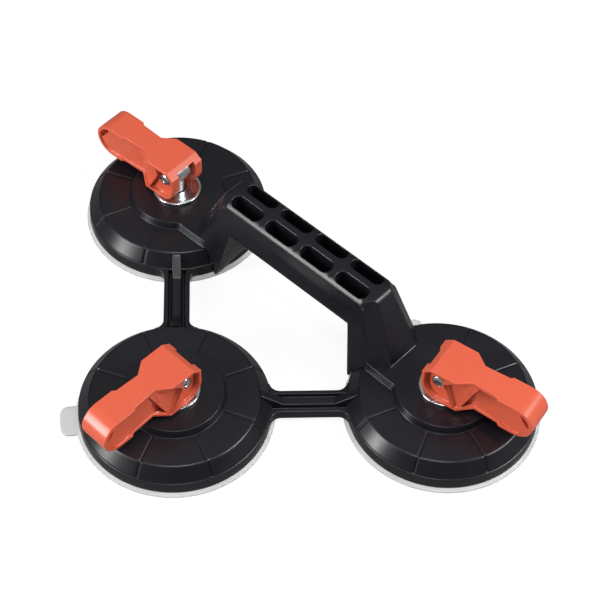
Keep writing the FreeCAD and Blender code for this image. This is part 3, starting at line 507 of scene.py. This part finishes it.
# half width of the handle at a height: its sides lean out evenly down to the foot
def sideHalf(z):
    look = handleLook
    edge = look["high"] - look["crown"]
    return look["grip"] + (edge - z) / (edge - look["skirtLow"]) * (look["foot"] - look["grip"])


# distance from the middle of the handle's rounded edge at an angle over it
def crossAt(degrees):
    look = handleLook
    return look["grip"] - look["round"] + look["round"] * np.sin(np.radians(degrees))


# top of the handle across: a flat parabola, rounded off towards the side
def crownHeight(y):
    look = handleLook
    past = np.clip(np.abs(y) - (look["grip"] - look["round"]), 0, look["round"] * 0.999)
    fall = look["round"] - np.sqrt(look["round"] ** 2 - past ** 2)
    return look["high"] - look["crown"] * (y / look["grip"]) ** 2 - fall


# stations along the handle's line, dense where it bends
def handleStations(withTop):
    slot = handleLook["slotZone"]
    if withTop:
        return np.concatenate([np.linspace(slot, 62.0, 8), np.linspace(62.0, 68.0, 22)[1:],
                               np.linspace(68.0, 80.5, 20)[1:], np.linspace(80.5, 88.0, 22)[1:]])
    bend = np.concatenate([np.linspace(40.0, 52.0, 26), np.linspace(52.0, slot, 12)[1:]])
    return np.concatenate([-bend[::-1], np.linspace(-40.0, 40.0, 9)[1:-1], bend])


# top along the handle: level, then down the leaning leg and onto the hub, with a soft blend at each bend
def topHeight(out):
    look = handleLook
    blend, foot = look["shoulder"], look["footBlend"]
    top = -blend * np.logaddexp(-look["high"] / blend, -leanHeight(out) / blend)
    return look["hubHigh"] - 0.06 + foot * np.logaddexp(0, (top - look["hubHigh"]) / foot)


# underside along the handle: level under the grip, blended into the leg's inner wall; the leg's end follows
# the foot line instead
def underHeight(out, withTop):
    look = handleLook
    blend = look["palmBlend"]
    steep = (look["beamLow"] - look["skirtLow"]) / (look["innerLow"] - look["innerHigh"])
    wall = look["beamLow"] - (out - look["innerHigh"]) * steep
    if withTop:
        places, heights = zip(*look["footLine"])
        return np.interp(out, (look["slotZone"], *places), (wall[0], *heights))
    return -blend * np.logaddexp(-look["beamLow"] / blend, -wall / blend)


# handle: upright sections at stations along it; each runs from the top's seam down a side and under
def handleSurface(withTop):
    look = handleLook
    x = handleStations(withTop)
    out = np.abs(x)
    top, under = topHeight(out), underHeight(out, withTop)
    gripY = crossAt(np.linspace(look["seam"], look["side"], 7))
    gripZ = crownHeight(gripY)[None, :] - (look["high"] - top)[:, None]

    # the leg's chamfer takes the place of the rounded edge where it reaches further in
    cut = np.clip(out - (look["topHalf"] - look["chamfer"]), 0, look["chamfer"])
    fade = np.clip(cut / look["chamfer"] * look["chamferFade"], 0, 1)[:, None]
    lowZ = np.maximum(np.minimum(crownHeight(gripY)[-1], leanHeight(out + look["chamfer"])), under + 1.0)
    startY, endY = sideHalf(top) - np.maximum(cut, look["round"]) - 0.5, sideHalf(lowZ)
    part = np.linspace(0, 1, len(gripY))[None, :]
    soft = 0.5 - 0.5 * np.cos(np.pi * part)
    legY = startY[:, None] + (endY - startY)[:, None] * part
    legZ = top[:, None] + (lowZ - top)[:, None] * (part * 0.8 + soft * 0.2)
    ringY = gripY[None, :] * (1 - fade) + legY * fade
    ringZ = gripZ * (1 - fade) + legZ * fade

    sideZ = ringZ[:, -1:] + (under[:, None] + 0.8 - ringZ[:, -1:]) * np.linspace(0, 1, 6)[None, 1:]
    sideY = sideHalf(sideZ)
    bottomY = np.stack([sideY[:, -1] - 0.25, sideY[:, -1] - 0.9, sideY[:, -1] * 0.5, sideY[:, -1] * 0], -1)
    bottomZ = np.stack([under + 0.25, under, under, under], -1)
    halfY = np.concatenate([ringY, sideY, bottomY], 1)
    halfZ = np.concatenate([ringZ, sideZ, bottomZ], 1)
    if withTop:
        # the crown from the middle line to the seam, flattened where the chamfer takes over
        inward = np.linspace(0, 1, 9)[None, :-1]
        topY = ringY[:, :1] * inward
        arch = look["crown"] * (topY / look["grip"]) ** 2
        seamArch = look["crown"] * (ringY[:, :1] / look["grip"]) ** 2
        drop = top[:, None] - ringZ[:, :1] - seamArch * (1 - fade)
        topZ = top[:, None] - arch * (1 - fade) - drop * inward ** 6
        halfY = np.concatenate([topY, halfY], 1)
        halfZ = np.concatenate([topZ, halfZ], 1)
    along = np.broadcast_to(x[:, None], halfY.shape)
    return [np.stack([along, look["line"] + hand * halfY, halfZ], -1) for hand in (1, -1)]


# slot cell: rings from the cell's straight border to the slot's rounded rim, down its wall and over its
# floor. Spokes fan out from four hubs at the slot's corners, with one more to each corner of the cell
def slotCell(column, row):
    look = handleLook
    offCentre = row * (look["slotRib"] + look["slotWidth"]) / 2
    middle = np.array([(column - 1.5) * look["slotPitch"], offCentre])
    seam = row * crossAt(look["seam"])
    low = np.array([max((column - 2) * look["slotPitch"], -look["slotZone"]), min(0.0, seam)])
    high = np.array([min((column - 1) * look["slotPitch"], look["slotZone"]), max(0.0, seam)])
    reach = np.array([look["slotLength"], look["slotWidth"]]) / 2 - look["slotRound"]
    hubs, spokes = [], []
    for right, up in ((1, 1), (-1, 1), (-1, -1), (1, -1)):
        hub = middle + reach * (right, up)
        gap = np.where(np.array([right, up]) > 0, high - hub, hub - low)
        corner = math.atan2(gap[1], gap[0])
        turns = np.sort(np.append(np.linspace(0, np.pi / 2, 9), corner))
        if right * up < 0:
            turns = turns[::-1]
        spokes.append(np.stack([right * np.cos(turns), up * np.sin(turns)], -1))
        hubs.append(np.broadcast_to(hub, spokes[-1].shape))
    hub, spoke = np.concatenate(hubs), np.concatenate(spokes)
    gap = np.where(spoke > 0, high - hub, hub - low)
    border = hub + spoke * np.min(gap / np.maximum(np.abs(spoke), 1e-6), 1, keepdims=True)

    # rim, wall and floor: how far each ring lies outside the slot's edge, and how far under the crown
    rim = look["rim"]
    outside = np.array([rim, rim * 0.62, rim * 0.29, rim * 0.08, 0.0, -0.25, -0.5, -1.1])
    sink = np.array([0.0, rim * 0.08, rim * 0.29, rim * 0.62, rim])
    rings = hub[None] + spoke[None] * (look["slotRound"] + outside)[:, None, None]
    centre = np.broadcast_to(middle, hub.shape)
    across = np.concatenate([border[None], (border[None] + rings[:1]) / 2, rings, centre[None]])
    height = crownHeight(across[..., 1])
    height[2:7] -= sink[:, None]
    height[7] = look["slotFloor"] + look["slotMid"]
    height[8] = look["slotFloor"] + look["slotFoot"]
    height[9:] = look["slotFloor"]
    return np.stack([across[..., 0], look["line"] + across[..., 1], height], -1)


def makeFrame():
    points, faces, count = [], [], 0

    def add(surface, closeRows=False, closeColumns=False, flip=False):
        nonlocal count
        rows, columns = surface.shape[:2]
        quads = gridFaces(rows, columns, closeRows, closeColumns)
        points.append(surface.reshape(-1, 3) * mm)
        faces.append((quads[:, ::-1] if flip else quads) + count)
        count += rows * columns

    for head in heads:
        add(headSurface(head), closeRows=True, closeColumns=True, flip=True)
    for yaw in (45.0, 135.0):
        add(railSurface(yaw), closeColumns=True)
    for withTop in (False, True):
        for half, flip in zip(handleSurface(withTop), (True, False)):
            add(half, flip=flip)
            if withTop:
                add(half * (-1, 1, 1), flip=not flip)
    for column in range(4):
        for row in (-1, 1):
            add(slotCell(column, row), closeColumns=True)
    piece = meshObject("frame_dressed", np.concatenate(points), np.concatenate(faces))
    tidyMesh(piece.data, turnOut=False)
    weightNormals(piece)
    return finishPiece(piece, "black_plastic", "frame", "frame_moulding")


makeFrame()
print("frame made")


# levers

leverLook = {"edge": 0.55, "segments": 3}


def dressLever(head):
    piece = bevelledCopy(head + "_lever", leverLook["edge"], leverLook["segments"])
    return finishPiece(piece, "orange_plastic", head + "_lever", head + "_lever")


for head in heads:
    dressLever(head)
print("levers dressed:", len(heads))


# washer: a dished disc with a rolled rim, plated

washerLook = {"hole": 5.6, "outer": 16.2, "base": 24.7, "web": 1.2, "rim": 2.0, "rimWidth": 2.4}


def makeWasher(head):
    look = washerLook
    base, top = look["base"], look["base"] + look["rim"]
    inner = look["outer"] - look["rimWidth"]
    profile = roundedProfile([
        (look["hole"], base, 0.2),
        (look["outer"], base, 0.9),
        (look["outer"], top, 1.0),
        (inner, top, 0.9),
        (inner - 1.0, base + look["web"], 0.6),
        (look["hole"], base + look["web"], 0.3),
    ])
    x, y = heads[head]["centre"]
    piece = turned(head + "_washer_dressed", profile, (x, y, 0))
    return finishPiece(piece, "zinc_steel", head + "_swivel", head + "_washer")


# pivot rivet: a domed head at one end, a rolled tubular end at the other

rivetLook = {"shank": 2.96, "head": 4.5, "cheek": 10.42, "dome": 1.7, "hollow": 1.5, "pivot": 41.95}


def makeRivet(head):
    look = rivetLook
    reach = look["cheek"] + look["dome"]
    profile = roundedProfile([
        (0.0, -reach, 0), (look["head"] * 0.55, -reach, 0.8), (look["head"] * 0.95, -reach + 0.8, 0.6),
        (look["head"], -look["cheek"], 0.1), (look["shank"], -look["cheek"], 0.05),
        (look["shank"], look["cheek"], 0.05), (look["head"], look["cheek"], 0.1),
        (look["head"], look["cheek"] + 0.9, 0.7), (look["head"] * 0.72, reach - 0.1, 0.7),
        (look["hollow"] + 0.4, reach - 0.1, 0.4), (look["hollow"], reach - 0.9, 0.3),
        (look["hollow"], look["cheek"] - 1.5, 0.3), (0.0, look["cheek"] - 1.5, 0),
    ])
    x, y = heads[head]["centre"]
    middle = (x, y, look["pivot"])
    piece = turned(head + "_rivet_dressed", profile, middle, axis="Y", yaw=heads[head]["lever"], steps=48)
    return finishPiece(piece, "zinc_steel", head + "_lever", head + "_pivot_rivet")


# rubber pad: a turned section whose outer edge reaches out into the pull tab

padLook = {
    "radius": 61.8, "tabReach": 71.3, "tabHalf": 10.3, "tabRound": 5.5, "tabTurn": 0.22, "tabFade": 0.25,
    "dome": 4.9, "domeRadius": 22.0, "rimInner": 49.0, "wall": 3.4, "top": 2.7, "blend": (1.5, 8.3),
    "edge": (
        (-1.0, 1.52), (-0.35, 1.35), (-0.05, 1.0), (0.0, 0.75), (-0.1, 0.4), (-0.45, 0.08), (-0.9, 0.0),
    ),
}


# outer radius by angle: the disc's radius, or a straight-ended tab with rounded corners near angle 0
def padReach(turn):
    look = padLook
    lateral = np.abs(np.sin(turn)) * look["radius"]
    ahead = np.cos(turn) > 0.9
    inset = np.clip(lateral - (look["tabHalf"] - look["tabRound"]), 0, look["tabRound"])
    corner = np.sqrt(np.clip(look["tabRound"] ** 2 - inset ** 2, 0, None))
    straight = look["tabReach"] - look["tabRound"] + corner
    foot = 1 / (1 + np.exp((lateral - look["tabHalf"]) / look["tabFade"]))
    tab = straight * foot + look["radius"] * (1 - foot)
    return np.where(ahead, np.maximum(tab, look["radius"]), look["radius"])


def makePad(head):
    look = padLook
    fine = np.linspace(-look["tabTurn"], look["tabTurn"], 121)
    coarse = np.linspace(look["tabTurn"], 2 * np.pi - look["tabTurn"], 360)[1:-1]
    turn = np.concatenate([fine, coarse])
    shoulder, domeTop = (look["rimInner"] + look["domeRadius"]) / 2, look["dome"] + look["wall"]
    inner = roundedProfile([
        (look["radius"] - 1.6, 0.0, 0), (look["rimInner"], 0.0, 4.0),
        (shoulder, look["dome"] * 0.42, 8.0), (look["domeRadius"], look["dome"], 6.0),
        (0.01, look["dome"], 0), (0.01, domeTop, 0), (look["domeRadius"] + 1.7, domeTop, 5.0),
        (shoulder + 3.4, (look["top"] + domeTop) / 2, 6.0),
        (look["rimInner"] + 3.4, look["top"], 3.0), (look["radius"] - 1.9, look["top"], 0),
    ])
    edge = np.array(look["edge"])
    radius = np.concatenate([np.broadcast_to(inner[None, :, 0], (len(turn), len(inner))),
                             padReach(turn)[:, None] + edge[None, :, 0]], 1)
    height = np.concatenate([inner[:, 1], edge[:, 1]])
    angle = turn + math.radians(heads[head]["tab"])
    x, y = heads[head]["centre"]
    points = np.stack([
        x + radius * np.cos(angle)[:, None],
        y + radius * np.sin(angle)[:, None],
        np.broadcast_to(height[None], radius.shape),
    ], -1) * mm
    faces = gridFaces(len(turn), radius.shape[1], closeRows=True, closeColumns=True)
    piece = meshObject(head + "_pad_dressed", points.reshape(-1, 3), faces)
    tidyMesh(piece.data)
    finishPiece(piece, "pale_rubber", None, head + "_pad")
    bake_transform(piece)
    return piece


# spring: a round wire carried along a helix

springLook = {"wire": 0.9, "coil": 9.5, "turns": 4, "low": 12.0, "high": 20.4}


def makeSpring(head):
    look = springLook
    steps, sides = look["turns"] * 40, 12
    turn = np.linspace(0, 2 * np.pi * look["turns"], steps + 1)
    spoke = np.linspace(0, 2 * np.pi, sides, endpoint=False)
    height = np.linspace(look["low"], look["high"], steps + 1)
    radius = look["coil"] + look["wire"] * np.cos(spoke)[None]
    x, y = heads[head]["centre"]
    points = np.stack([
        x + radius * np.cos(turn)[:, None],
        y + radius * np.sin(turn)[:, None],
        height[:, None] + look["wire"] * np.sin(spoke)[None],
    ], -1) * mm
    faces = gridFaces(steps + 1, sides, closeColumns=True).tolist()
    faces.append(list(range(sides)))
    faces.append([steps * sides + side for side in range(sides)][::-1])
    piece = meshObject(head + "_spring_dressed", points.reshape(-1, 3), faces)
    tidyMesh(piece.data)
    finishPiece(piece, "spring_steel", None, head + "_spring")
    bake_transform(piece)
    return piece


# stud and anchor plate keep the solid's own shape

studLook = {"edge": 0.4, "segments": 2}


def dressStud(head):
    piece = bevelledCopy(head + "_stud", studLook["edge"], studLook["segments"])
    return finishPiece(piece, "zinc_steel", head + "_stud", head + "_stud")


def dressPlate(head):
    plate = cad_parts[head + "_anchor_plate"]
    plate.data.materials.clear()
    plate.data.materials.append(materials["zinc_steel"])


for head in heads:
    makeWasher(head)
    makeRivet(head)
    makePad(head)
    makeSpring(head)
    dressStud(head)
    dressPlate(head)
print("head parts made")


# floor, camera and lamps

stageLook = {
    "floor": (0.16, 0.16, 0.16), "floorHalf": 6.0, "floorDrop": 0.0002, "floorRough": 0.9,
    "floorGlow": {
        "Is Camera Ray": 0.89, "Is Transmission Ray": 0.93, "Is Glossy Ray": 0.10, "Is Diffuse Ray": 0.30,
    },
    "skyGlow": {"Is Camera Ray": 1.0, "Is Transmission Ray": 1.0, "Is Diffuse Ray": 0.12},
    "bands": ((0.0, 0.30), (0.22, 0.05), (0.55, 0.05), (0.8, 0.34)),
    "aim": (0, 0, 0.03),
}


# glow by kind of ray: a white studio to the camera and through clear stuff, a dimmer one in reflections
def rayGlow(nodes, links, glows):
    path = nodes.new("ShaderNodeLightPath")
    total = None
    for kind, glow in glows.items():
        part = nodes.new("ShaderNodeMath")
        part.operation = "MULTIPLY_ADD" if total else "MULTIPLY"
        links.new(path.outputs[kind], part.inputs[0])
        if isinstance(glow, float):
            part.inputs[1].default_value = glow
        else:
            links.new(glow, part.inputs[1])
        if total:
            links.new(total, part.inputs[2])
        total = part.outputs["Value"]
    return total


def makeFloor():
    look = stageLook
    half = look["floorHalf"]
    points = [(-half, -half, 0), (half, -half, 0), (half, half, 0), (-half, half, 0)]
    floor = meshObject("floor", points, [(0, 1, 2, 3)])
    floor.location.z = -look["floorDrop"]
    material, nodes, links, shader = newMaterial("floorWhite")
    shader.inputs["Base Color"].default_value = (*look["floor"], 1)
    shader.inputs["Roughness"].default_value = look["floorRough"]
    shader.inputs["Specular IOR Level"].default_value = 0.0
    shader.inputs["Emission Color"].default_value = (1, 1, 1, 1)
    links.new(rayGlow(nodes, links, look["floorGlow"]), shader.inputs["Emission Strength"])
    floor.data.materials.append(material)


# world: white to the camera; reflections find a pale horizon, a dark band and a dim ceiling
def makeWorld():
    world = bpy.data.worlds.new("studio")
    bpy.context.scene.world = world
    world.use_nodes = True
    nodes, links = world.node_tree.nodes, world.node_tree.links
    background = nodes["Background"]
    background.inputs["Color"].default_value = (1, 1, 1, 1)
    split = nodes.new("ShaderNodeSeparateXYZ")
    links.new(nodes.new("ShaderNodeTexCoord").outputs["Generated"], split.inputs["Vector"])
    ramp = nodes.new("ShaderNodeValToRGB")
    bands = stageLook["bands"]
    while len(ramp.color_ramp.elements) < len(bands):
        ramp.color_ramp.elements.new(0.5)
    for element, (height, glow) in zip(ramp.color_ramp.elements, bands):
        element.position = height
        element.color = (glow, glow, glow, 1)
    links.new(split.outputs["Z"], ramp.inputs["Fac"])
    sky = ramp.outputs["Color"]
    total = rayGlow(nodes, links, {**stageLook["skyGlow"], "Is Glossy Ray": sky})
    links.new(total, background.inputs["Strength"])


def lookMatrix(place, target):
    forward = (Vector(target) - Vector(place)).normalized()
    return forward.to_track_quat("-Z", "Y").to_matrix().to_4x4()


def addLamp(name, look):
    data = bpy.data.lights.new(name, "AREA")
    data.shape = "RECTANGLE"
    data.size, data.size_y = look["size"]
    data.energy = look["power"]
    lamp = linkObject(name, data)
    lamp.matrix_world = Matrix.Translation(look["place"]) @ lookMatrix(look["place"], stageLook["aim"])


# frontLeft is a tall box that lights near edges and slopes, backRight lights far edges, rolls and
# facets, and top lights the levers' tops
lampLook = {
    "frontLeft": {"place": (-0.60, -1.20, 0.58), "size": (0.29, 1.05), "power": 18},
    "backRight": {"place": (0.985, 0.58, 0.93), "size": (0.6, 0.5), "power": 14.5},
    "top": {"place": (0.3, -0.3, 1.7), "size": (0.5, 0.5), "power": 8},
}


cameraLook = {
    "place": (0.436244, -0.442922, 0.845778),
    "azimuth": 41.1978, "elevation": 51.5830, "roll": 2.2832, "lens": 98.702, "sensor": 36.0,
}


# camera: looks along the azimuth and down by the elevation, then rolls about its line of sight
def makeCamera():
    look = cameraLook
    azimuth, elevation = math.radians(look["azimuth"]), math.radians(look["elevation"])
    flat = math.cos(elevation)
    forward = Vector((-math.sin(azimuth) * flat, math.cos(azimuth) * flat, -math.sin(elevation)))
    level = Vector((math.cos(azimuth), math.sin(azimuth), 0))
    above = level.cross(forward)
    roll = math.radians(look["roll"])
    right = level * math.cos(roll) + above * math.sin(roll)
    up = above * math.cos(roll) - level * math.sin(roll)
    data = bpy.data.cameras.new("camera")
    data.sensor_width = look["sensor"]
    data.lens = look["lens"]
    camera = linkObject("camera", data)
    turn = Matrix((right, up, -forward)).transposed().to_4x4()
    camera.matrix_world = Matrix.Translation(look["place"]) @ turn
    bpy.context.scene.camera = camera


makeFloor()
makeWorld()
for name, look in lampLook.items():
    addLamp(name, look)
makeCamera()
bpy.context.scene.view_settings.view_transform = "Standard"
print("stage set")
